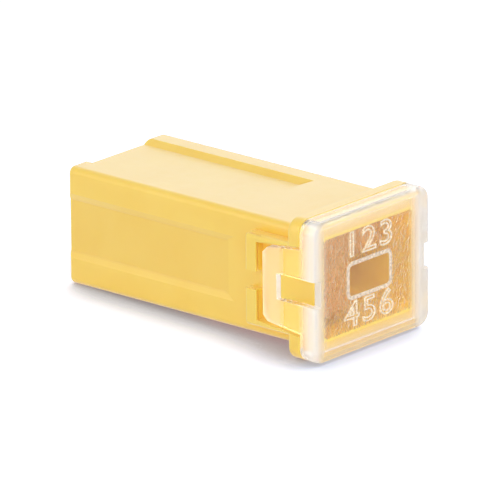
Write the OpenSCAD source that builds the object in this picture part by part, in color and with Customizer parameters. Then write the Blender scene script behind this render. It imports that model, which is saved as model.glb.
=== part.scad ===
// Female cartridge fuse, lying on one of its wide sides.
// +X runs from the blade mouths to the clear cap, Y is the wide direction, +Z is up.

/* [Overall] */
// Length of the fuse, from the blade mouths to the front of the clear cap
fuse_len = 28; // [26:0.5:36]
// Width of the flange and the clear cap
flange_w = 14.5; // [14.2:0.1:15.5]
// Height of the flange and the clear cap
flange_h = 12.1; // [11.7:0.1:13]
// Corner radius of the flange and the clear cap
flange_r = 1.2; // [1:0.1:1.5]

/* [Housing body] */
// Width of the body behind the flange
body_w = 12.1; // [11.8:0.1:12.4]
// Height of the body behind the flange
body_h = 10.2; // [9.6:0.1:10.5]
// Radius of the four long edges of the body
body_r = 0.6; // [0.4:0.1:0.9]
// Radius round the mouth end of the body
end_r = 0.35; // [0.2:0.05:0.4]
// Thickness of the wall that holds the blade mouths
rear_wall_t = 1; // [0.8:0.1:1.4]
// Thickness of the wall between the two terminal chambers
divider_t = 1.3; // [1:0.1:1.5]
// Length left open ahead of the divider, up to the front of the housing
front_room = 7.5; // [7:0.1:9]

/* [Moulded recesses] */
// Depth of the long recess on the top and on the underside
top_recess_depth = 0.44; // [0.2:0.02:0.5]
// Width of the raised strip along each edge of the top and the underside
top_strip_w = 2; // [1.5:0.1:2.5]
// Depth of the long recess on each side
side_recess_depth = 0.28; // [0.1:0.02:0.4]
// Width of the raised strip along each edge of a side
side_strip_w = 2.3; // [1.8:0.1:2.8]
// Width of the slope between a strip and the floor of its recess
recess_slope_w = 0.6; // [0.4:0.1:1]
// Length of the ramp at the front end of each recess
recess_ramp_len = 1.1; // [0.6:0.1:1.6]
// Plain length between the end of the recesses and the snap blocks
plain_len = 2.2; // [1.5:0.1:3]

/* [Flange and front rim] */
// Thickness of the flange
flange_t = 1.25; // [1:0.05:1.6]
// Edge radius of the flange and of the rear of the snap blocks
flange_edge_r = 0.25; // [0.1:0.05:0.25]
// Wall of the front rim at the left and the right
rim_side_t = 0.8; // [0.65:0.05:0.9]
// Wall of the front rim at the top and the bottom
rim_top_t = 0.95; // [0.7:0.05:1.1]

/* [Snap blocks] */
// Length of the wall of a snap block behind the end of the cap's tab
block_wall_t = 1.2; // [0.9:0.1:1.5]
// Height of a snap block
block_h = 7.9; // [7.7:0.1:8.6]
// Edge radius along the top and the bottom of a snap block
block_r = 0.35; // [0.3:0.05:0.45]
// Width of the gap that splits the wall of a snap block in two
block_gap_w = 1.6; // [1.2:0.1:2]
// Free length between the end of a tab and the wall behind it
tab_end_gap = 0.7; // [0.4:0.1:1]
// Gap between the edges of a tab and its pocket
tab_side_gap = 0.15; // [0.1:0.05:0.25]
// Height of the latching wedge over the floor of its pocket
wedge_rise = 0.62; // [0.4:0.02:0.7]
// Gap between the wedge and the sides of its window
wedge_side_gap = 0.13; // [0.08:0.01:0.2]
// Gap between the latching face of the wedge and the tab
latch_play = 0.3; // [0.1:0.05:0.4]

/* [Clear cap] */
// Depth of the clear cap, without its tabs
cap_depth = 1.7; // [1.5:0.05:2]
// Wall thickness round the clear cap and of its tabs
cap_wall_t = 0.75; // [0.6:0.05:0.8]
// Thickness of the front panel of the clear cap
panel_t = 0.75; // [0.6:0.05:0.8]
// Edge radius round the front panel
cap_edge_r = 0.45; // [0.3:0.05:0.6]
// Play between the clear cap and the front rim of the housing
cap_play = 0.1; // [0.06:0.01:0.14]
// Gap between the open edge of the cap and the flange
cap_seat_gap = 0.05; // [0.02:0.01:0.1]
// Length of each tab behind the open edge of the cap
tab_len = 4; // [3.6:0.1:4.4]
// Height of a tab at its root
tab_root_h = 7.3; // [6.9:0.1:7.3]
// Height of a tab at its free end
tab_tip_h = 6.4; // [6:0.1:6.8]
// Length and height of the cut corners at the free end of a tab
tab_corner = 0.5; // [0.3:0.1:0.7]
// Length of the bar between the free end of a tab and its window
tab_bar = 1.5; // [1.2:0.1:1.8]
// Height of the window in a tab
window_h = 2.2; // [1.9:0.1:2.6]
// Width of the raised frame on the inside of the front panel
sight_w = 5.6; // [5:0.1:6.2]
// Height of the raised frame on the inside of the front panel
sight_h = 3.2; // [2.8:0.1:3.6]
// Corner radius of the raised frame
sight_r = 0.64; // [0.5:0.02:1]
// Width of the line of the raised frame
sight_line_w = 0.24; // [0.16:0.02:0.3]
// Height of the raised frame over the panel
sight_rise = 0.12; // [0.06:0.02:0.2]

/* [Fuse element] */
// Width of the blade that each terminal receives
blade_w = 6.3; // [6.1:0.1:6.4]
// Thickness of the blade that each terminal receives
blade_t = 0.8; // [0.6:0.1:0.8]
// Room beside the blade, between it and the terminal box
blade_side_gap = 0.15; // [0.1:0.05:0.2]
// Thickness of the sheet that the element is stamped from
sheet_t = 0.5; // [0.4:0.05:0.5]
// Rise of each contact spring from the wall of its box
spring_rise = 1.2; // [0.9:0.05:1.2]
// Width of a contact spring
spring_w = 4.2; // [3.4:0.1:4.6]
// Slot beside a contact spring, where it was cut from the wall
spring_slot_w = 0.4; // [0.3:0.05:0.5]
// Length of each terminal box
box_len = 11; // [10:0.5:12]
// Gap between a terminal box and the walls of its chamber
box_gap = 0.15; // [0.08:0.01:0.15]
// Width of the lengthwise seam in a terminal box
seam_w = 0.2; // [0.1:0.05:0.3]
// Width of the legs and of the bridge between the terminals
leg_w = 7; // [5.6:0.1:7.4]
// Inside bend radius of the bridge
bridge_bend_r = 1; // [0.6:0.1:1.4]
// Distance from the bridge to the front panel of the cap
bridge_depth = 2.65; // [2.2:0.05:3]
// Width of the narrowed link, along the upper edge of the bridge
link_w = 2.4; // [1.8:0.1:3]
// Length of the narrowed link, up to the outer face of the leg that it joins
link_len = 4.6; // [4:0.1:5.2]
// Corner radius where the bridge narrows to the link
link_r = 0.55; // [0.3:0.05:0.9]
// Length behind the bend over which the leg stays as narrow as the link
narrow_leg_len = 3.6; // [2:0.1:4.2]

/* [Tin pellet] */
// Length of the pellet along the link
pellet_len = 1.5; // [1:0.1:1.6]
// Thickness of the pellet
pellet_t = 0.7; // [0.5:0.05:0.9]
// Gap between the pellet and the claws round it
pellet_play = 0.03; // [0.02:0.01:0.06]
// Thickness of the claws that hold the pellet
claw_t = 0.35; // [0.25:0.05:0.45]

/* [Hidden] */
$fn = 48;

// Overlap that makes joined forms one solid, and the overrun of every cut
join = 0.2;
over = 1;

// Stations along the fuse, counted from the mouth end
cap_x = fuse_len - cap_depth;
panel_x = fuse_len - panel_t;
flange_front_x = cap_x - cap_seat_gap;
flange_rear_x = flange_front_x - flange_t;
rim_front_x = panel_x - cap_play;
tab_end_x = cap_x - tab_len;
pocket_x = tab_end_x - tab_end_gap;
block_x = pocket_x - block_wall_t;
recess_end_x = block_x - plain_len;
window_x = tab_end_x + tab_bar;
wedge_x = window_x + latch_play;
divider_front_x = rim_front_x - front_room;

// Fits between the cap and the housing
cap_inner_w = flange_w - 2 * cap_wall_t;
cap_inner_h = flange_h - 2 * cap_wall_t;
cap_inner_r = flange_r - cap_wall_t;
rim_w = cap_inner_w - 2 * cap_play;
rim_h = cap_inner_h - 2 * cap_play;
rim_r = cap_inner_r;
rim_edge_r = cap_play;
front_w = rim_w - 2 * rim_side_t;
front_h = rim_h - 2 * rim_top_t;
front_r = rim_r;
wedge_h = window_h - 2 * wedge_side_gap;

// Terminal boxes and the chambers round them
box_w = blade_t + 2 * spring_rise + 2 * sheet_t;
box_h = blade_w + 2 * blade_side_gap + 2 * sheet_t;
box_r = 2 * sheet_t;
chamber_w = box_w + 2 * box_gap;
chamber_h = box_h + 2 * box_gap;
chamber_y = (divider_t + chamber_w) / 2;
box_x = rear_wall_t + box_gap;
box_end_x = box_x + box_len;
mouth_w = blade_t + 2 * spring_rise - sheet_t;
mouth_h = blade_w + 4 * blade_side_gap;
mouth_flare = rear_wall_t / 2;

// Bridge, narrowed link and pellet
leg_y = chamber_y + box_w / 2;
bridge_x = panel_x - bridge_depth;
leg_x = box_end_x - 2 * sheet_t;
spring_end = 2 * sheet_t;
spring_span = box_len - 2 * spring_end;
spring_arc_r = (spring_span * spring_span / 4 + spring_rise * spring_rise) / (2 * spring_rise);
pellet_w = link_w - 2 * pellet_play;
pellet_x = bridge_x - sheet_t - pellet_play - pellet_t;
link_start_y = leg_y - link_len;
link_bend_y = leg_y - sheet_t - bridge_bend_r;
link_y = (link_start_y + link_bend_y) / 2;
link_z = (leg_w - link_w) / 2;
claw_len = pellet_len / 2;
claw_lip = link_w / 4;
claw_x = pellet_x - pellet_play - claw_t;

// Places the fuse on its long side, with the middle of its length over the origin
module laid_down() {
    translate([-fuse_len / 2, 0, flange_h / 2]) children();
}

// Draws the children once at each side of the fuse
module both_sides() {
    children();
    mirror([0, 1, 0]) children();
}

// Draws the children once above and once below the axis
module above_and_below() {
    children();
    mirror([0, 0, 1]) children();
}

// A flat drawing in Y and Z, drawn out along X
module along_x(x0, x1) {
    translate([x0, 0, 0]) rotate([90, 0, 90]) linear_extrude(x1 - x0) children();
}

// A flat drawing in X and Z, drawn out along Y
module along_y(y0, y1) {
    translate([0, y1, 0]) rotate([90, 0, 0]) linear_extrude(y1 - y0) children();
}

// A flat drawing in X and Y, drawn out along Z on both sides of the axis
module across_z(h) {
    linear_extrude(h, center = true) children();
}

// A rectangle with round corners
module rounded_rect(w, h, r) {
    square([w - 2 * r, h], center = true);
    square([w, h - 2 * r], center = true);
    for (u = [-1, 1], v = [-1, 1]) {
        translate([u * (w / 2 - r), v * (h / 2 - r)]) circle(r);
    }
}

// One end of a bar, with round corners where the radius is more than nothing
module bar_end(x, w, r, way) {
    if (r > 0) {
        translate([way > 0 ? x - r : x, r - w / 2]) square([r, w - 2 * r]);
        for (u = [-1, 1]) {
            translate([x - way * r, u * (w / 2 - r)]) circle(r);
        }
    }
}

// The outline of a bar from x0 to x1, with its own corner radius at each end
module bar_outline(x0, x1, w, r0, r1) {
    translate([x0 + r0, -w / 2]) square([x1 - x0 - r0 - r1, w]);
    bar_end(x0, w, r0, -1);
    bar_end(x1, w, r1, 1);
}

// A block along X with round long edges r, and its own edge radius round each end
module soft_block(x0, x1, w, h, r, r0, r1) {
    across_z(h - 2 * r) bar_outline(x0, x1, w, r0, r1);
    along_y(r - w / 2, w / 2 - r) bar_outline(x0, x1, h, r0, r1);
    for (u = [-1, 1], v = [-1, 1]) {
        translate([0, u * (w / 2 - r), v * (h / 2 - r)]) soft_corner(x0, x1, r, r0, r1);
    }
}

// The round long edge of a soft block
module soft_corner(x0, x1, r, r0, r1) {
    rotate([0, 90, 0]) rotate_extrude() intersection() {
        rotate(90) bar_outline(x0, x1, 2 * r, r0, r1);
        translate([0, x0]) square([r, x1 - x0]);
    }
}

// The section of a recess: wide at the surface, narrower at its floor
module recess_section(floor_w, depth) {
    rise = depth + over;
    spread = recess_slope_w * rise / depth;
    polygon([
        [-floor_w / 2, 0], [floor_w / 2, 0],
        [floor_w / 2 + spread, rise], [-floor_w / 2 - spread, rise]
    ]);
}

// The length of a recess: open at the mouth end, with a ramp at the other end
module recess_length(depth) {
    rise = depth + over;
    run = recess_ramp_len * rise / depth;
    polygon([
        [-over, 0], [recess_end_x - recess_ramp_len, 0],
        [recess_end_x - recess_ramp_len + run, rise], [-over, rise]
    ]);
}

// The cut for one long recess, with its floor on the XY plane
module recess_cut(face_w, strip_w, depth) {
    floor_w = face_w - 2 * strip_w - 2 * recess_slope_w;
    intersection() {
        along_x(-over, fuse_len) recess_section(floor_w, depth);
        along_y(-face_w / 2, face_w / 2) recess_length(depth);
    }
}

// The four long recesses of the body
module recesses() {
    above_and_below() {
        translate([0, 0, body_h / 2 - top_recess_depth]) recess_cut(body_w, top_strip_w, top_recess_depth);
    }
    both_sides() {
        translate([0, body_w / 2 - side_recess_depth, 0]) rotate([-90, 0, 0])
            recess_cut(body_h, side_strip_w, side_recess_depth);
    }
}

// The outline of a tab, or of its pocket with a gap all round
module tab_outline(x0, x1, gap, corner) {
    tip = tab_tip_h / 2 + gap;
    slope = (tab_root_h - tab_tip_h) / 2 / tab_len;
    root = tip + slope * (x1 - x0);
    polygon([
        [x0, corner - tip], [x0 + corner, -tip], [x1, -root],
        [x1, root], [x0 + corner, tip], [x0, tip - corner]
    ]);
}

// The pocket in which one tab of the cap lies, open at the front of the flange
module tab_pocket() {
    along_y(rim_w / 2, flange_w)
        tab_outline(pocket_x, flange_front_x + over, tab_side_gap, 0);
    translate([block_x - over, rim_w / 2, -block_gap_w / 2])
        cube([block_wall_t + 2 * over, flange_w, block_gap_w]);
}

// The wedge that latches one tab: a steep face to the rear, and a ramp to the front
module latch_wedge() {
    across_z(wedge_h) polygon([
        [wedge_x, rim_w / 2 - join], [wedge_x, rim_w / 2 + wedge_rise],
        [wedge_x + wedge_rise / 3, rim_w / 2 + wedge_rise],
        [flange_front_x, rim_w / 2], [flange_front_x, rim_w / 2 - join]
    ]);
}

// One blade mouth with its lead-in, at its own chamber
module blade_mouth() {
    translate([0, chamber_y, 0]) {
        along_x(-over, rear_wall_t + over) square([mouth_w, mouth_h], center = true);
        intersection() {
            across_z(chamber_h) polygon([
                [-over, -mouth_w / 2 - mouth_flare - over], [mouth_flare, -mouth_w / 2],
                [mouth_flare, mouth_w / 2], [-over, mouth_w / 2 + mouth_flare + over]
            ]);
            along_y(-chamber_w, chamber_w) polygon([
                [-over, -mouth_h / 2 - mouth_flare - over], [mouth_flare, -mouth_h / 2],
                [mouth_flare, mouth_h / 2], [-over, mouth_h / 2 + mouth_flare + over]
            ]);
        }
    }
}

// The room for the bridge, the blade mouths and the two terminal chambers, which run out
// through the rim because the element goes in from the front
module interior() {
    both_sides() {
        translate([0, chamber_y, 0]) along_x(rear_wall_t, rim_front_x + over)
            square([chamber_w, chamber_h], center = true);
        blade_mouth();
    }
    along_x(divider_front_x, rim_front_x + over) rounded_rect(front_w, front_h, front_r);
}

// The outside of the housing: body, snap blocks, flange and rim, with pockets and wedges
module outer_form() {
    difference() {
        union() {
            soft_block(0, flange_rear_x + join, body_w, body_h, body_r, end_r, 0);
            soft_block(block_x, flange_rear_x + join, flange_w, block_h, block_r,
                flange_edge_r, 0);
            soft_block(flange_rear_x, flange_front_x, flange_w, flange_h, flange_r,
                flange_edge_r, 0);
            soft_block(flange_front_x - join, rim_front_x, rim_w, rim_h, rim_r, 0, rim_edge_r);
        }
        recesses();
        both_sides() tab_pocket();
    }
    both_sides() latch_wedge();
}

// The moulded housing
module housing() {
    color([0.96, 0.86, 0.55]) laid_down() difference() {
        outer_form();
        interior();
    }
}

// One snap tab of the clear cap
module cap_tab() {
    along_y(cap_inner_w / 2, flange_w / 2)
        tab_outline(tab_end_x, cap_x + join, 0, tab_corner);
}

// The window of one tab, which ends as a notch in the edge of the front panel
module tab_window() {
    translate([window_x, cap_inner_w / 2 - over, -window_h / 2])
        cube([panel_x - window_x, cap_wall_t + 2 * over, window_h]);
    translate([panel_x - join, cap_inner_w / 2, -window_h / 2])
        cube([panel_t + join + over, cap_wall_t + over, window_h]);
}

// The raised frame on the inside of the front panel
module sight_frame() {
    along_x(panel_x - sight_rise, panel_x + join) difference() {
        rounded_rect(sight_w, sight_h, sight_r);
        rounded_rect(sight_w - 2 * sight_line_w, sight_h - 2 * sight_line_w, sight_r - sight_line_w);
    }
}

// The clear cap that latches over the rim: front panel, rim and two tabs
module clear_cap() {
    color([0.93, 0.94, 0.96, 0.45]) laid_down() {
        difference() {
            union() {
                soft_block(cap_x, fuse_len, flange_w, flange_h, flange_r, 0, cap_edge_r);
                both_sides() cap_tab();
            }
            along_x(cap_x - over, panel_x) rounded_rect(cap_inner_w, cap_inner_h, cap_inner_r);
            both_sides() tab_window();
        }
        sight_frame();
    }
}

// One box terminal, with a window in each wide wall for its contact spring
module box_terminal() {
    difference() {
        along_x(box_x, box_end_x) difference() {
            rounded_rect(box_w, box_h, box_r);
            rounded_rect(box_w - 2 * sheet_t, box_h - 2 * sheet_t, box_r - sheet_t);
        }
        translate([box_x + spring_end, -box_w, -spring_w / 2 - spring_slot_w])
            cube([spring_span, 2 * box_w, spring_w + 2 * spring_slot_w]);
        translate([box_x - over, -seam_w / 2, -box_h])
            cube([box_len + 2 * over, seam_w, box_h]);
    }
    both_sides() contact_spring();
}

// A contact spring that bows from its wall towards the blade
module contact_spring() {
    across_z(spring_w) intersection() {
        translate([box_x + box_len / 2, box_w / 2 - sheet_t - spring_rise + spring_arc_r]) difference() {
            circle(spring_arc_r, $fn = 160);
            circle(spring_arc_r - sheet_t, $fn = 160);
        }
        translate([box_x + spring_end - sheet_t, 0]) square([spring_span + 2 * sheet_t, box_w / 2]);
    }
}

// The two legs and the bridge, as one bent strip that narrows to the link round one bend
module bridge() {
    cut_w = link_len + 2 * over;
    cut_h = leg_w - link_w + 2 * over;
    difference() {
        across_z(leg_w) difference() {
            bar_outline(leg_x, bridge_x, 2 * leg_y, 0, bridge_bend_r + sheet_t);
            bar_outline(leg_x - over, bridge_x - sheet_t, 2 * (leg_y - sheet_t), 0, bridge_bend_r);
        }
        along_x(bridge_x - sheet_t - bridge_bend_r - narrow_leg_len, bridge_x + over)
            translate([link_start_y + cut_w / 2, leg_w / 2 - link_w - cut_h / 2])
                rounded_rect(cut_w, cut_h, link_r);
    }
}

// A claw that folds from the edge of the link over the pellet, about the link's middle
module pellet_claw() {
    along_y(-claw_len / 2, claw_len / 2) polygon([
        [claw_x, link_w / 2 - claw_lip], [claw_x, link_w / 2 + claw_t],
        [bridge_x, link_w / 2 + claw_t], [bridge_x, link_w / 2 - claw_t],
        [bridge_x - sheet_t, link_w / 2 - claw_t], [bridge_x - sheet_t, link_w / 2],
        [claw_x + claw_t, link_w / 2], [claw_x + claw_t, link_w / 2 - claw_lip]
    ]);
}

// The fuse element: two box terminals, two legs and the bridge, stamped in one piece
module fuse_element() {
    color([0.74, 0.47, 0.30]) laid_down() {
        both_sides() translate([0, chamber_y, 0]) box_terminal();
        bridge();
        translate([0, link_y, link_z]) above_and_below() pellet_claw();
    }
}

// The pellet of tin on the link
module tin_pellet() {
    color([0.80, 0.80, 0.82]) laid_down() {
        translate([pellet_x, link_y - pellet_len / 2, link_z - pellet_w / 2])
            cube([pellet_t, pellet_len, pellet_w]);
    }
}

housing();
clear_cap();
fuse_element();
tin_pellet();
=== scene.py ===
"""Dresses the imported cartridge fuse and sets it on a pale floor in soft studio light.

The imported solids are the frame. Each rigid piece here is a softened copy of its solid, with
its moulded or rolled edges eased, so it stays where the solid is. All lengths are in
millimetres until MM turns them into metres, and the fuse lies along X with its clear cap
towards +X.
"""

import logging
import math
from dataclasses import dataclass, field
from enum import Enum

import bpy
from mathutils import Matrix, Vector


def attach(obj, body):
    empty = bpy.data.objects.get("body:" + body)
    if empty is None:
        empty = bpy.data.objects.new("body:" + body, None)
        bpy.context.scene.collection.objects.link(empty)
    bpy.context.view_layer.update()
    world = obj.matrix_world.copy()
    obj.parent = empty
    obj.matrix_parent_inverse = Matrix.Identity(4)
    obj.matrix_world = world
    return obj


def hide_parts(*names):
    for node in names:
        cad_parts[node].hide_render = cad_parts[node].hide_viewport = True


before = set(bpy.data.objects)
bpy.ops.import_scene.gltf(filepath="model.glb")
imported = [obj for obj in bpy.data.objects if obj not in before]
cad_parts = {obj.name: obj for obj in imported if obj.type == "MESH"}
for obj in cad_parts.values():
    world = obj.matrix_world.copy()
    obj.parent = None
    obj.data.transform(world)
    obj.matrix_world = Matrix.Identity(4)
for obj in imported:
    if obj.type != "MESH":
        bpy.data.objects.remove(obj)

LOG = logging.getLogger("cartridge_fuse")
Socket = bpy.types.NodeSocket
Colour = tuple[float, float, float]
Place = tuple[float, float, float]
Pair = tuple[float, float]
Span = tuple[float, float]

MM = 0.001
WHITE: Colour = (1.0, 1.0, 1.0)

# The height of the fuse's axis, and the place of the inner face of the cap's panel
AXIS_Z = 6.05
PANEL_X = 13.25

# Limits for merging, flattening, easing and smoothing a mesh, the last three in degrees
MERGE = 0.0005
FLAT_ANGLE = 0.6
EDGE_ANGLE = 24.0
SMOOTH_ANGLE = 32.0

# The share of the lamps' light that clear plastic lets straight through
LAMP_SHARE = 0.96


class Slot(Enum):
    """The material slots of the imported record."""

    HOUSING = "housing_plastic"
    CLEAR = "clear_plastic"
    COPPER = "copper_alloy"
    TIN = "tin"


@dataclass(frozen=True)
class Pattern:
    """A cloudy pattern on the object's own coordinates.

    Args:
        size: The size of its spots.
        detail: How many finer layers it has.
        distortion: How much it is pulled about.
        stretch: How much finer it is along each axis.
    """

    size: float
    detail: float = 3.0
    distortion: float = 0.0
    stretch: Place = (1.0, 1.0, 1.0)


@dataclass(frozen=True)
class Bump:
    """How a pattern stands up from the surface.

    Args:
        depth: Its depth.
        strength: How strongly it shows, from 0 to 1.
    """

    depth: float
    strength: float = 1.0


@dataclass
class NodeBench:
    """Adds the shader nodes of one material or world and joins them.

    Args:
        owner: The material or world whose node tree is built.
        end: The type name of the tree's output.
    """

    owner: bpy.types.Material | bpy.types.World
    end: str = "ShaderNodeOutputMaterial"

    def __post_init__(self) -> None:
        """Clears the tree and adds its output."""
        self.owner.use_nodes = True
        self.tree = self.owner.node_tree
        self.tree.nodes.clear()
        self.output = self.add(self.end)

    def add(self, kind: str, **settings: object) -> bpy.types.Node:
        """Adds a node.

        Args:
            kind: The node's type name.
            settings: Properties of the node, or sockets and values for its inputs by name.

        Returns:
            The new node.
        """
        node = self.tree.nodes.new(kind)
        for name, value in settings.items():
            if hasattr(node, name):
                setattr(node, name, value)
            else:
                self.join(value, node.inputs[name.replace("_", " ")])
        return node

    def join(self, source: object, target: Socket) -> None:
        """Feeds an input from another socket, or with a plain value.

        Args:
            source: The other socket, or the value.
            target: The input.
        """
        if isinstance(source, Socket):
            self.tree.links.new(source, target)
        else:
            target.default_value = source

    def end_with(self, shader: Socket) -> None:
        """Joins the finished shader to the output."""
        self.join(shader, self.output.inputs["Surface"])

    def maths(self, operation: str, first: object, second: object = 0.0,
              clamp: bool = False) -> Socket:
        """Adds one step of arithmetic.

        Args:
            operation: The name of the operation.
            first: A socket or a number.
            second: A socket or a number.
            clamp: Whether the result stays between 0 and 1.

        Returns:
            The socket that holds the result.
        """
        node = self.add("ShaderNodeMath", operation=operation, use_clamp=clamp)
        for socket, value in zip(node.inputs, (first, second)):
            self.join(value, socket)
        return node.outputs[0]

    def all_of(self, *shares: Socket) -> Socket:
        """Multiplies shares, so that the result is 1 only where each of them is.

        Args:
            shares: The shares, each from 0 to 1.

        Returns:
            The socket of the product.
        """
        product = shares[0]
        for share in shares[1:]:
            product = self.maths("MULTIPLY", product, share)
        return product

    def off(self, coordinate: Socket, centre: float = 0.0) -> Socket:
        """Tells how far a coordinate lies off a centre, on either side."""
        return self.maths("ABSOLUTE", self.maths("SUBTRACT", coordinate, centre * MM))

    def below(self, distance: Socket, limit: float) -> Socket:
        """Tells with 1 or 0 whether a distance is below a limit."""
        return self.maths("LESS_THAN", distance, limit * MM)

    def above(self, distance: Socket, limit: float) -> Socket:
        """Tells with 1 or 0 whether a distance is above a limit."""
        return self.maths("GREATER_THAN", distance, limit * MM)

    def place(self, stretch: Place = (1.0, 1.0, 1.0)) -> Socket:
        """Adds the object's own coordinates, stretched for a pattern."""
        where = self.add("ShaderNodeTexCoord").outputs["Object"]
        return self.add("ShaderNodeMapping", Scale=stretch, Vector=where).outputs["Vector"]

    def axes(self) -> tuple[Socket, ...]:
        """Adds the object's own coordinates, split into X, Y and Z."""
        return tuple(self.add("ShaderNodeSeparateXYZ", Vector=self.place()).outputs)

    def noise(self, pattern: Pattern) -> Socket:
        """Adds a cloudy pattern.

        Args:
            pattern: The pattern's sizes.

        Returns:
            The socket of its strength, from 0 to 1.
        """
        node = self.add("ShaderNodeTexNoise", Scale=1 / (pattern.size * MM),
                        Detail=pattern.detail, Distortion=pattern.distortion,
                        Vector=self.place(pattern.stretch))
        return node.outputs["Fac"]

    def between(self, share: Socket, low: float, high: float) -> Socket:
        """Spreads a strength of 0 to 1 over the range from low to high."""
        node = self.add("ShaderNodeMapRange", Value=share, To_Min=low, To_Max=high)
        return node.outputs["Result"]

    def shades(self, share: Socket, span: Span, first: Colour, second: Colour) -> Socket:
        """Turns a strength into a colour.

        Args:
            share: The strength, from 0 to 1.
            span: Where the first colour ends and where the second one is reached.
            first: The colour at low strength.
            second: The colour at high strength.

        Returns:
            The socket of the colour.
        """
        node = self.add("ShaderNodeValToRGB", Fac=share)
        for element, place, colour in zip(node.color_ramp.elements, span, (first, second)):
            element.position = place
            element.color = (*colour, 1.0)
        return node.outputs["Color"]

    def mix(self, share: Socket, first: Socket | Colour, second: Socket | Colour,
            blend: str = "MIX") -> Socket:
        """Mixes two colours.

        Args:
            share: The second colour's share.
            first: The first colour, or its socket.
            second: The second colour, or its socket.
            blend: The way of mixing.

        Returns:
            The socket of the mixed colour.
        """
        node = self.add("ShaderNodeMix", data_type="RGBA", blend_type=blend)
        self.join(share, node.inputs[0])
        for value, socket in ((first, node.inputs[6]), (second, node.inputs[7])):
            self.join(value if isinstance(value, Socket) else (*value, 1.0), socket)
        return node.outputs[2]

    def mix_shaders(self, share: Socket, first: Socket, second: Socket) -> Socket:
        """Mixes two shaders.

        Args:
            share: The second shader's share.
            first: The first shader.
            second: The second shader.

        Returns:
            The socket of the mixed shader.
        """
        node = self.add("ShaderNodeMixShader", Fac=share)
        self.join(first, node.inputs[1])
        self.join(second, node.inputs[2])
        return node.outputs["Shader"]

    def relief(self, height: Socket, bump: Bump, under: Socket | None = None,
               share: Socket | None = None) -> Socket:
        """Adds a bump.

        Args:
            height: The pattern of heights.
            bump: Its depth and strength.
            under: The normal of a bump that it lies on.
            share: The places where it shows, instead of an even strength.

        Returns:
            The socket of the bumped normal.
        """
        node = self.add("ShaderNodeBump", Height=height, Distance=bump.depth * MM,
                        Strength=bump.strength if share is None else share)
        if under is not None:
            self.join(under, node.inputs["Normal"])
        return node.outputs["Normal"]

    def gloss_rays(self, rays: bpy.types.bpy_prop_collection) -> Socket:
        """Tells with 1 or 0 whether a ray comes from a gloss or from clear plastic."""
        return self.maths("MAXIMUM", rays["Is Glossy Ray"], rays["Is Transmission Ray"])


@dataclass(frozen=True)
class HousingPlastic:
    """Pale yellow moulded plastic, satin, with a little depth to the light in it."""

    name: str = "housing_plastic"
    body: Colour = (0.893, 0.597, 0.052)
    light_body: Colour = (0.913, 0.632, 0.077)
    clouds: Pattern = Pattern(6.0, 4.0, 0.4)
    cloud_span: Span = (0.35, 0.7)
    ior: float = 1.55
    glow: float = 0.5
    glow_colour: Colour = (1.0, 0.85, 0.5)
    glow_reach: float = 0.8
    coat: float = 1.0
    coat_roughness: float = 0.24
    sheen: float = 0.25
    sheen_roughness: float = 0.45
    satin: Pattern = Pattern(0.9, 4.0)
    roughness: Span = (0.36, 0.50)
    flow: Pattern = Pattern(2.5, 2.0, stretch=(0.25, 1.0, 1.0))
    flow_bump: Bump = Bump(0.02, 0.5)
    grain: Pattern = Pattern(0.09, 2.0)
    grain_bump: Bump = Bump(0.004, 0.6)
    wall_glow: Colour = (0.94, 0.58, 0.06)
    # painted_room_light: a lighter colour painted on the inside of the front room, standing in
    # for light that does not reach it
    painted_room_light: Colour = (1.0, 0.73, 0.05)
    # painted_recess_shade: darkening painted on the floors of the side recesses, standing in for
    # shade there
    painted_recess_shade: Colour = (0.97, 0.945, 0.92)
    room_x: float = 4.0
    room_y: float = 5.7
    room_z: float = 4.5
    recess_y: float = 5.85
    recess_z: float = 3.7

    def build(self) -> bpy.types.Material:
        """Builds the material.

        Returns:
            The finished material.
        """
        bench = NodeBench(bpy.data.materials.new(self.name))
        skin = bench.shades(bench.noise(self.clouds), self.cloud_span, self.body,
                            self.light_body)
        flow = bench.relief(bench.noise(self.flow), self.flow_bump)
        grain = bench.relief(bench.noise(self.grain), self.grain_bump, flow)
        shader = bench.add(
            "ShaderNodeBsdfPrincipled", Base_Color=self.paint_light_and_shade(bench, skin),
            Roughness=bench.between(bench.noise(self.satin), *self.roughness), Normal=grain,
            IOR=self.ior, Subsurface_Weight=self.glow, Subsurface_Radius=self.glow_colour,
            Subsurface_Scale=self.glow_reach * MM, Coat_Weight=self.coat,
            Coat_Roughness=self.coat_roughness, Sheen_Weight=self.sheen,
            Sheen_Roughness=self.sheen_roughness)
        self.shine_through(bench, shader.outputs["BSDF"])
        return bench.owner

    def paint_light_and_shade(self, bench: NodeBench, skin: Socket) -> Socket:
        """Paints light into the inside of the front room, making it lighter, and shade into the
        side recesses, making them a little darker.

        Args:
            bench: The bench of the material.
            skin: The plain colour of the plastic.

        Returns:
            The socket of the colour with the painted light and shade.
        """
        along, side, height = bench.axes()
        across, up = bench.off(side), bench.off(height, AXIS_Z)
        room = bench.all_of(bench.below(across, self.room_y), bench.below(up, self.room_z),
                            bench.above(along, self.room_x))
        recess = bench.all_of(bench.above(across, self.room_y),
                              bench.below(across, self.recess_y),
                              bench.below(up, self.recess_z))
        # Paints light into the front room's inside as a lighter colour
        with_painted_light = bench.mix(room, skin, self.painted_room_light)
        # Paints shade onto the floors of the side recesses as a darker colour
        return bench.mix(recess, with_painted_light, self.painted_recess_shade, "MULTIPLY")

    def shine_through(self, bench: NodeBench, shader: Socket) -> None:
        """Ends the material: a lamp behind a wall glows through it in amber.

        Args:
            bench: The bench of the material.
            shader: The material's main shader.
        """
        rays = bench.add("ShaderNodeLightPath").outputs
        amber = bench.add("ShaderNodeBsdfTransparent", Color=(*self.wall_glow, 1.0))
        bench.end_with(bench.mix_shaders(rays["Is Shadow Ray"], shader, amber.outputs["BSDF"]))


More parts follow.
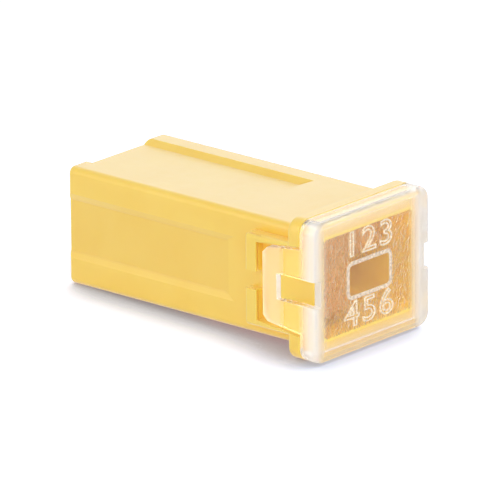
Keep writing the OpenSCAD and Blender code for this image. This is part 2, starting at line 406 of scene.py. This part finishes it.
def let_through(bench: NodeBench, shader: Socket, turns: float) -> None:
    """Ends a clear material: lamps shine through it, and so does light lost deep inside.

    A ray that has already turned many times goes straight on through the plastic, and meets
    whatever stands around the fuse.

    Args:
        bench: The bench of the material.
        shader: The material's main shader.
        turns: How often a ray may turn before it goes straight on.
    """
    rays = bench.add("ShaderNodeLightPath").outputs
    open_way = bench.add("ShaderNodeBsdfTransparent").outputs["BSDF"]
    lost = bench.maths("GREATER_THAN", rays["Ray Depth"], turns)
    shone = bench.maths("MULTIPLY", rays["Is Shadow Ray"], LAMP_SHARE)
    bench.end_with(bench.mix_shaders(bench.maths("MAXIMUM", lost, shone), shader, open_way))


@dataclass(frozen=True)
class ClearPlastic:
    """Clear moulded plastic, hazy round its edge, frosted over one field of the panel's inside.

    The field is found by its place: it lies on the inner face of the panel, inside the front
    room of the housing, and leaves out the polished sight in its middle. It and the haze lie
    off the panel's middle by the lean, towards -Y. The field's mottled tint is painted: pale
    glints over a brown that stands in for the inside seen through the frost.
    """

    name: str = "clear_plastic"
    tint: Colour = (1.0, 0.975, 0.94)
    ior: float = 1.43
    clarity: float = 1.0
    turns: float = 4.0
    smooth: Pattern = Pattern(1.6)
    smooth_bump: Bump = Bump(0.004, 0.4)
    roughness: Span = (0.05, 0.10)
    lean: float = 0.45
    edge_haze: float = 0.66
    level_haze: float = 0.42
    haze_width: float = 1.3
    haze_start: Place = (12.1, 5.2, 4.2)
    tab_front_x: float = 10.2
    tab_haze: float = 0.11
    tab_roughness: float = 0.22
    # A mottled tint painted on the frosted field: pale painted glints over a painted brown of the
    # inside seen through the frost
    frost_painted_dark: Colour = (0.84, 0.62, 0.29)
    frost_painted_glint: Colour = (1.0, 1.0, 0.80)
    frost_roughness: float = 0.04
    swirl: Pattern = Pattern(0.42, 2.0, 1.4, (1.0, 1.2, 0.8))
    swirl_span: Span = (0.40, 0.55)
    swirl_bump: Bump = Bump(0.09)
    face_slack: float = 0.06
    field_size: Pair = (11.2, 8.5)
    sight_size: Pair = (5.3, 2.9)

    def past(self, bench: NodeBench, distance: Socket, start: float) -> Socket:
        """Tells how far a distance lies past a line: 0 on it, 1 a haze's width beyond it."""
        beyond = bench.maths("SUBTRACT", distance, start * MM)
        return bench.maths("DIVIDE", beyond, self.haze_width * MM, True)

    def haze(self, bench: NodeBench, axes: tuple[Socket, ...]) -> Socket:
        """Finds the hazy edge, where the panel turns into its side walls.

        Args:
            bench: The bench of the material.
            axes: The coordinates.

        Returns:
            The socket that is 1 at the edge and fades to 0 inwards and rearwards.
        """
        along, side, height = axes
        start_x, start_y, start_z = self.haze_start
        level = bench.maths("MULTIPLY", self.past(bench, bench.off(height, AXIS_Z), start_z),
                            self.level_haze)
        ring = bench.maths("MAXIMUM", self.past(bench, bench.off(side, -self.lean), start_y),
                           level)
        return bench.maths("MULTIPLY", ring, self.past(bench, along, start_x))

    def inside(self, bench: NodeBench, axes: tuple[Socket, ...], size: Pair,
               lean: float = 0.0) -> Socket:
        """Tells whether a point lies in a rectangle on the panel.

        Args:
            bench: The bench of the material.
            axes: The coordinates.
            size: The rectangle's width and height.
            lean: How far it lies off the panel's middle, towards -Y.

        Returns:
            The socket that is 1 inside and 0 outside.
        """
        width, height = size
        return bench.all_of(bench.below(bench.off(axes[1], -lean), width / 2),
                            bench.below(bench.off(axes[2], AXIS_Z), height / 2))

    def frost(self, bench: NodeBench, axes: tuple[Socket, ...]) -> Socket:
        """Finds the frosted field, without the sight in its middle.

        Args:
            bench: The bench of the material.
            axes: The coordinates.

        Returns:
            The socket that is 1 in the field and 0 elsewhere.
        """
        on_face = bench.below(bench.off(axes[0], PANEL_X), self.face_slack)
        whole = self.inside(bench, axes, self.field_size, self.lean)
        sight = self.inside(bench, axes, self.sight_size)
        return bench.all_of(on_face, bench.maths("SUBTRACT", whole, sight, True))

    def build(self) -> bpy.types.Material:
        """Builds the material.

        Returns:
            The finished material.
        """
        bench = NodeBench(bpy.data.materials.new(self.name))
        axes = bench.axes()
        frost = self.frost(bench, axes)
        on_tab = bench.below(axes[0], self.tab_front_x)
        lost = bench.maths("ADD", bench.maths("MULTIPLY", self.haze(bench, axes), self.edge_haze),
                           bench.maths("MULTIPLY", on_tab, self.tab_haze))
        smooth, swirl = bench.noise(self.smooth), bench.noise(self.swirl)
        rough = bench.between(smooth, *self.roughness)
        for share, more in ((frost, self.frost_roughness), (on_tab, self.tab_roughness)):
            rough = bench.maths("ADD", rough, bench.maths("MULTIPLY", share, more))
        # Paints the frost's glints, and the brown seen through it, into the plastic's tint
        painted_frost_mottle = bench.shades(swirl, self.swirl_span, self.frost_painted_dark, self.frost_painted_glint)
        frosted = bench.relief(swirl, self.swirl_bump, share=frost)
        shader = bench.add(
            "ShaderNodeBsdfPrincipled", Base_Color=bench.mix(frost, self.tint, painted_frost_mottle),
            Roughness=rough, Normal=bench.relief(smooth, self.smooth_bump, frosted),
            Transmission_Weight=bench.maths("SUBTRACT", self.clarity, lost), IOR=self.ior)
        let_through(bench, shader.outputs["BSDF"], self.turns)
        return bench.owner


@dataclass(frozen=True)
class RidgePlastic:
    """The clear plastic where it stands up in a fine ridge, which scatters light to white."""

    name: str = "ridge_plastic"
    tint: Colour = (1.0, 0.96, 0.88)
    worn_share: float = 0.94
    worn: Pattern = Pattern(0.3)
    worn_span: Span = (0.3, 0.7)
    roughness: Span = (0.2, 0.35)
    ior: float = 1.5
    clarity: float = 0.38
    turns: float = 4.0

    def build(self) -> bpy.types.Material:
        """Builds the material.

        Returns:
            The finished material.
        """
        bench = NodeBench(bpy.data.materials.new(self.name))
        worn = bench.noise(self.worn)
        near = tuple(part * self.worn_share for part in self.tint)
        shader = bench.add(
            "ShaderNodeBsdfPrincipled", IOR=self.ior, Transmission_Weight=self.clarity,
            Base_Color=bench.shades(worn, self.worn_span, near, self.tint),
            Roughness=bench.between(worn, *self.roughness))
        let_through(bench, shader.outputs["BSDF"], self.turns)
        return bench.owner


class Wear(Enum):
    """The pattern that the roughness of a bare metal follows."""

    SKIN = "skin"
    MARKS = "marks"


@dataclass(frozen=True)
class BareMetal:
    """A bare metal with a skin of two tones.

    Args:
        name: The material's name.
        dark: The darker tone.
        light: The lighter tone.
        skin: The pattern of the tones.
        skin_span: Where the darker tone ends and where the lighter one is reached.
        roughness: The least and the most roughness.
        wear: The pattern that the roughness follows.
        marks: The pattern of the marks in the surface.
        marks_bump: How deep the marks are.
    """

    name: str
    dark: Colour
    light: Colour
    skin: Pattern
    skin_span: Span
    roughness: Span
    wear: Wear
    marks: Pattern
    marks_bump: Bump

    def build(self) -> bpy.types.Material:
        """Builds the material.

        Returns:
            The finished material.
        """
        bench = NodeBench(bpy.data.materials.new(self.name))
        skin, marks = bench.noise(self.skin), bench.noise(self.marks)
        worn = marks if self.wear is Wear.MARKS else skin
        shader = bench.add(
            "ShaderNodeBsdfPrincipled", Metallic=1.0,
            Base_Color=bench.shades(skin, self.skin_span, self.dark, self.light),
            Roughness=bench.between(worn, *self.roughness),
            Normal=bench.relief(marks, self.marks_bump))
        bench.end_with(shader.outputs["BSDF"])
        return bench.owner


@dataclass(frozen=True)
class RolledCopper(BareMetal):
    """Bare rolled copper alloy strip: fine lines from the rolls, and specks of darker skin."""

    name: str = "copper_alloy"
    dark: Colour = (0.55, 0.31, 0.15)
    light: Colour = (0.80, 0.48, 0.26)
    skin: Pattern = Pattern(1.2, 5.0, 0.8)
    skin_span: Span = (0.3, 0.62)
    roughness: Span = (0.26, 0.44)
    wear: Wear = Wear.MARKS
    marks: Pattern = Pattern(0.07, 2.0, stretch=(0.05, 1.0, 1.0))
    marks_bump: Bump = Bump(0.004, 0.5)


@dataclass(frozen=True)
class DullTin(BareMetal):
    """Cast tin with a soft grey skin and small pits."""

    name: str = "tin"
    dark: Colour = (0.45, 0.45, 0.47)
    light: Colour = (0.70, 0.70, 0.72)
    skin: Pattern = Pattern(0.5, 4.0)
    skin_span: Span = (0.35, 0.65)
    roughness: Span = (0.4, 0.6)
    wear: Wear = Wear.SKIN
    marks: Pattern = Pattern(0.12)
    marks_bump: Bump = Bump(0.01, 0.6)


@dataclass(frozen=True)
class StudioFloor:
    """White paper that keeps the object's shadow and shows as white in gloss and clear plastic.

    Next to the object the paper carries a painted shade, worked out from how closely the object
    hems it in; it is deepest on the object's near side, away from the direction open_side
    points to. Only the camera sees that painted shade, and the faint lift that makes the paper
    white.
    """

    name: str = "studio_floor"
    paper: Colour = (0.82, 0.83, 0.84)
    grain: Pattern = Pattern(3.0, 2.0)
    grain_share: float = 0.99
    grain_span: Span = (0.3, 0.7)
    seen_lift: Colour = (0.22, 0.28, 0.42)
    gloss_lift: float = 0.4
    # shade_reach to open_side set the painted shade that the camera sees on the paper next to the
    # object
    shade_reach: float = 4.2
    shade_floor: float = 0.44
    shade_start: float = 0.35
    shade_end: float = 0.70
    shade_samples: int = 8
    open_side: Place = (-0.35, 0.75, 0.55)

    def build(self) -> bpy.types.Material:
        """Builds the material.

        Returns:
            The finished material.
        """
        bench = NodeBench(bpy.data.materials.new(self.name))
        rays = bench.add("ShaderNodeLightPath").outputs
        seen, painted_shade = rays["Is Camera Ray"], self.painted_shade(bench)
        near = tuple(part * self.grain_share for part in self.paper)
        plain = bench.shades(bench.noise(self.grain), self.grain_span, near, self.paper)
        matt = bench.add("ShaderNodeBsdfDiffuse", Color=bench.mix(seen, plain, painted_shade))
        strength = bench.maths(
            "MAXIMUM", bench.maths("MULTIPLY", bench.gloss_rays(rays), self.gloss_lift),
            bench.maths("MULTIPLY", seen, painted_shade))
        glow = bench.add("ShaderNodeEmission", Color=bench.mix(seen, WHITE, self.seen_lift),
                         Strength=strength)
        both = bench.add("ShaderNodeAddShader")
        bench.join(matt.outputs["BSDF"], both.inputs[0])
        bench.join(glow.outputs["Emission"], both.inputs[1])
        bench.end_with(both.outputs["Shader"])
        return bench.owner

    def painted_shade(self, bench: NodeBench) -> Socket:
        """Paints shade on the paper as it is seen, from how closely the object hems it in.

        Args:
            bench: The bench of the material.

        Returns:
            The socket that is 1 in the open and less by the object.
        """
        way = bench.add("ShaderNodeCombineXYZ")
        for part, socket in zip(Vector(self.open_side).normalized(), way.inputs):
            bench.join(part, socket)
        # This occlusion paints shade on the paper; it does not come from the lamps
        painted_shade = bench.add("ShaderNodeAmbientOcclusion", samples=self.shade_samples,
                          Distance=self.shade_reach * MM, Normal=way.outputs[0])
        share = bench.maths("SUBTRACT", painted_shade.outputs["AO"], self.shade_start)
        share = bench.maths("DIVIDE", share, self.shade_end - self.shade_start, True)
        return bench.between(share, self.shade_floor, 1.0)


def pick(obj: bpy.types.Object) -> None:
    """Deselects everything, then selects one object and makes it active.

    Args:
        obj: The object.
    """
    bpy.ops.object.select_all(action="DESELECT")
    obj.select_set(True)
    bpy.context.view_layer.objects.active = obj


def apply_modifier(obj: bpy.types.Object, kind: str, **settings: object) -> None:
    """Adds a modifier and applies it.

    Args:
        obj: The object that gets it.
        kind: The type of the modifier.
        settings: The modifier's properties.
    """
    pick(obj)
    modifier = obj.modifiers.new(kind.lower(), kind)
    for name, value in settings.items():
        setattr(modifier, name, value)
    bpy.ops.object.modifier_apply(modifier=modifier.name)


def softened_copy(node: str, name: str, ease: float, steps: int = 2) -> bpy.types.Object:
    """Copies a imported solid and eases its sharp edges.

    Args:
        node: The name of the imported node.
        name: The name of the new piece.
        ease: The width of the bevel on each sharp edge.
        steps: The number of faces across each bevel.

    Returns:
        The new piece, with its place in its mesh.
    """
    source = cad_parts[node]
    piece = bpy.data.objects.new(name, source.data.copy())
    bpy.context.scene.collection.objects.link(piece)
    piece.data.materials.clear()
    pick(piece)
    bpy.ops.object.mode_set(mode="EDIT")
    bpy.ops.mesh.select_all(action="SELECT")
    bpy.ops.mesh.remove_doubles(threshold=MERGE * MM)
    bpy.ops.mesh.dissolve_limited(angle_limit=math.radians(FLAT_ANGLE))
    bpy.ops.object.mode_set(mode="OBJECT")
    apply_modifier(piece, "BEVEL", width=ease * MM, segments=steps, limit_method="ANGLE",
                   angle_limit=math.radians(EDGE_ANGLE), use_clamp_overlap=True)
    bpy.ops.object.shade_smooth_by_angle(angle=math.radians(SMOOTH_ANGLE))
    apply_modifier(piece, "WEIGHTED_NORMAL", mode="FACE_AREA", keep_sharp=True)
    return piece


@dataclass
class Housing:
    """The moulded housing, with the edges that its mould rounds off."""

    node: str = "housing"
    ease: float = 0.11
    finish: HousingPlastic = field(default_factory=HousingPlastic)

    def build(self) -> bpy.types.Object:
        """Builds and dresses the housing.

        Returns:
            The finished piece.
        """
        piece = softened_copy(self.node, "moulded_housing", self.ease)
        piece.data.materials.append(self.finish.build())
        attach(piece, "root")
        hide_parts(self.node)
        return piece


@dataclass
class ClearCap:
    """The clear cap, with a row of raised numerals over and under its sight."""

    node: str = "clear_cap"
    ease: float = 0.07
    rows: tuple[tuple[str, float], ...] = (("123", 3.0), ("456", -3.0))
    size: float = 3.0
    spacing: float = 1.15
    stretch: float = 1.25
    line_r: float = 0.075
    line_sunk: float = 0.02
    line_steps: int = 1
    curve_steps: int = 4
    line_smooth: float = 50.0
    ridge_depth: float = 0.3
    ridge_w: float = 7.0
    ridge_h: float = 4.6
    face_slack: float = 0.004
    finish: ClearPlastic = field(default_factory=ClearPlastic)
    ridge_finish: RidgePlastic = field(default_factory=RidgePlastic)

    def numerals(self, text: str, height: float) -> bpy.types.Object:
        """Makes one row of outlined numerals on the inner face of the panel.

        Args:
            text: The numerals.
            height: How far the middle of the row lies over the axis.

        Returns:
            The row as a mesh, with its place in its mesh.
        """
        bpy.ops.object.select_all(action="DESELECT")
        bpy.ops.object.text_add()
        row = bpy.context.object
        row.data.body = text
        row.data.size = self.size * MM
        row.data.space_character = self.spacing
        row.data.align_x = "CENTER"
        row.data.align_y = "CENTER"
        row.data.fill_mode = "NONE"
        row.data.resolution_u = self.curve_steps
        row.data.bevel_depth = self.line_r * MM
        row.data.bevel_resolution = self.line_steps
        pick(row)
        bpy.ops.object.convert(target="MESH")
        row = bpy.context.object
        # The text's width turns to Y, stretched, and its height turns to Z
        turn = Matrix(((0, 0, 1, 0), (self.stretch, 0, 0, 0), (0, 1, 0, 0), (0, 0, 0, 1)))
        where = Vector((PANEL_X - self.line_r + self.line_sunk, 0, AXIS_Z + height)) * MM
        row.data.transform(Matrix.Translation(where) @ turn)
        bpy.ops.object.mode_set(mode="EDIT")
        bpy.ops.mesh.select_all(action="SELECT")
        bpy.ops.mesh.remove_doubles(threshold=MERGE * MM)
        bpy.ops.mesh.normals_make_consistent(inside=False)
        bpy.ops.object.mode_set(mode="OBJECT")
        bpy.ops.object.shade_smooth_by_angle(angle=math.radians(self.line_smooth))
        return row

    def dress_ridge(self, piece: bpy.types.Object) -> None:
        """Gives the ridge round the sight its own finish, found by its place.

        Args:
            piece: The cap.
        """
        for face in piece.data.polygons:
            where = face.center / MM - Vector((PANEL_X, 0, AXIS_Z))
            raised = -self.ridge_depth < where.x < -self.face_slack
            if raised and abs(where.y) < self.ridge_w / 2 and abs(where.z) < self.ridge_h / 2:
                face.material_index = 1

    def build(self) -> list[bpy.types.Object]:
        """Builds and dresses the cap and its numerals.

        Returns:
            The finished pieces.
        """
        piece = softened_copy(self.node, "clear_cap_moulding", self.ease)
        ridge_material = self.ridge_finish.build()
        piece.data.materials.append(self.finish.build())
        piece.data.materials.append(ridge_material)
        self.dress_ridge(piece)
        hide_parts(self.node)
        built = [piece]
        for text, height in self.rows:
            row = self.numerals(text, height)
            row.name = f"raised_numerals_{text}"
            row.data.materials.clear()
            row.data.materials.append(ridge_material)
            built.append(row)
        for part in built:
            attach(part, "root")
        return built


@dataclass
class FuseElement:
    """The stamped element, with the eased edges of sheared strip, and its tin pellet."""

    node: str = "fuse_element"
    pellet_node: str = "tin_pellet"
    ease: float = 0.05
    steps: int = 1
    pellet_ease: float = 0.22
    pellet_steps: int = 4
    finish: RolledCopper = field(default_factory=RolledCopper)
    pellet_finish: DullTin = field(default_factory=DullTin)

    def build(self) -> list[bpy.types.Object]:
        """Builds and dresses the element and the pellet.

        Returns:
            The two finished pieces.
        """
        element = softened_copy(self.node, "stamped_element", self.ease, self.steps)
        element.data.materials.append(self.finish.build())
        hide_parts(self.node)
        pellet = softened_copy(self.pellet_node, "pellet", self.pellet_ease,
                               self.pellet_steps)
        pellet.data.materials.append(self.pellet_finish.build())
        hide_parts(self.pellet_node)
        for piece in (element, pellet):
            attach(piece, "root")
        return [element, pellet]


@dataclass
class Softbox:
    """One large soft lamp.

    Args:
        name: The lamp's name.
        place: Where it stands.
        width: Its width. A wide lamp is dim for its power, so gloss doesn't turn it white.
        height: Its height.
        watts: Its power.
    """

    name: str
    place: Place
    width: float
    height: float
    watts: float

    def build(self, aim: Vector) -> None:
        """Adds the lamp, turned towards a point.

        Args:
            aim: The point, in metres.
        """
        data = bpy.data.lights.new(self.name, "AREA")
        data.shape = "RECTANGLE"
        data.size = self.width * MM
        data.size_y = self.height * MM
        data.energy = self.watts
        lamp = bpy.data.objects.new(self.name, data)
        bpy.context.scene.collection.objects.link(lamp)
        lamp.location = Vector(self.place) * MM
        lamp.rotation_euler = (aim - lamp.location).to_track_quat("-Z", "Y").to_euler()
        lamp.visible_camera = False


@dataclass
class Studio:
    """The floor, the light and the camera.

    The fuse rests on the lower edge of its flange and on the rear end of its body, so the
    floor rises a little towards the rear. Angles are in degrees.
    """

    floor_front: Pair = (11.1, 0.0)
    floor_rear: Pair = (-13.8, 0.95)
    floor_size: float = 1600.0
    floor_gap: float = 0.01
    floor_cuts: int = 3
    sky_strength: float = 0.46
    sky_seen: float = 1.0
    target: Place = (-0.5, 0.0, AXIS_Z)
    azimuth: float = 41.138
    elevation: float = 18.271
    roll: float = 0.449
    distance: float = 845.13
    aim_right: float = 0.886
    aim_up: float = -0.838
    lens: float = 737.24
    lamps: tuple[Softbox, ...] = (
        Softbox("overhead_softbox", (-10.0, 120.0, 330.0), 240.0, 240.0, 0.23),
        Softbox("side_softbox", (-80.0, -340.0, 130.0), 400.0, 340.0, 0.42),
        Softbox("front_softbox", (310.0, -230.0, 170.0), 860.0, 400.0, 1.03),
        Softbox("rear_softbox", (-200.0, 300.0, 140.0), 400.0, 400.0, 0.20),
    )
    paper: StudioFloor = field(default_factory=StudioFloor)

    def floor(self) -> None:
        """Lays the floor under the flange and the rear of the body."""
        (front_x, front_z), (rear_x, rear_z) = self.floor_front, self.floor_rear
        slope = math.atan2(rear_z - front_z, front_x - rear_x)
        bpy.ops.object.select_all(action="DESELECT")
        bpy.ops.mesh.primitive_plane_add(size=self.floor_size * MM)
        floor = bpy.context.object
        floor.name = "floor"
        bpy.ops.object.mode_set(mode="EDIT")
        bpy.ops.mesh.select_all(action="SELECT")
        bpy.ops.mesh.subdivide(number_cuts=self.floor_cuts)
        bpy.ops.object.mode_set(mode="OBJECT")
        lay = (Matrix.Translation(Vector((front_x, 0, front_z - self.floor_gap)) * MM)
               @ Matrix.Rotation(slope, 4, "Y"))
        floor.data.transform(lay)
        floor.data.materials.append(self.paper.build())

    def sky(self) -> None:
        """Makes the even white world, which the camera and gloss see as plain white."""
        world = bpy.data.worlds.new("studio_world")
        bpy.context.scene.world = world
        bench = NodeBench(world, "ShaderNodeOutputWorld")
        rays = bench.add("ShaderNodeLightPath").outputs
        seen = bench.maths("MAXIMUM", rays["Is Camera Ray"], bench.gloss_rays(rays))
        light, white = (
            bench.add("ShaderNodeBackground", Color=(*WHITE, 1.0), Strength=strength)
            for strength in (self.sky_strength, self.sky_seen))
        bench.end_with(bench.mix_shaders(seen, light.outputs["Background"],
                                         white.outputs["Background"]))

    def camera(self) -> None:
        """Sets the camera at the photograph's viewing angle."""
        turn, rise, roll = (math.radians(angle) for angle in
                            (self.azimuth, self.elevation, self.roll))
        back = Vector((math.sin(turn) * math.cos(rise), -math.cos(turn) * math.cos(rise),
                       math.sin(rise)))
        level_right = Vector((math.cos(turn), math.sin(turn), 0.0))
        level_up = back.cross(level_right)
        right = level_right * math.cos(roll) - level_up * math.sin(roll)
        up = level_right * math.sin(roll) + level_up * math.cos(roll)
        aim = Vector(self.target) + right * self.aim_right + up * self.aim_up
        data = bpy.data.cameras.new("studio_camera")
        data.lens = self.lens
        camera = bpy.data.objects.new("studio_camera", data)
        bpy.context.scene.collection.objects.link(camera)
        axes = Matrix((right, up, back)).transposed().to_4x4()
        camera.matrix_world = Matrix.Translation((aim + back * self.distance) * MM) @ axes
        bpy.context.scene.camera = camera

    def build(self) -> None:
        """Builds the floor, the light and the camera."""
        bpy.context.scene.view_settings.view_transform = "Standard"
        self.floor()
        self.sky()
        for lamp in self.lamps:
            lamp.build(Vector(self.target) * MM)
        self.camera()


def main() -> None:
    """Builds the fuse and the studio."""
    logging.basicConfig(level=logging.INFO, format="%(name)s: %(message)s")
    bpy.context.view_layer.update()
    built = [Housing().build(), *ClearCap().build(), *FuseElement().build()]
    for piece in built:
        LOG.info("%s: %d faces", piece.name, len(piece.data.polygons))
    Studio().build()


if __name__ == "__main__":
    main()
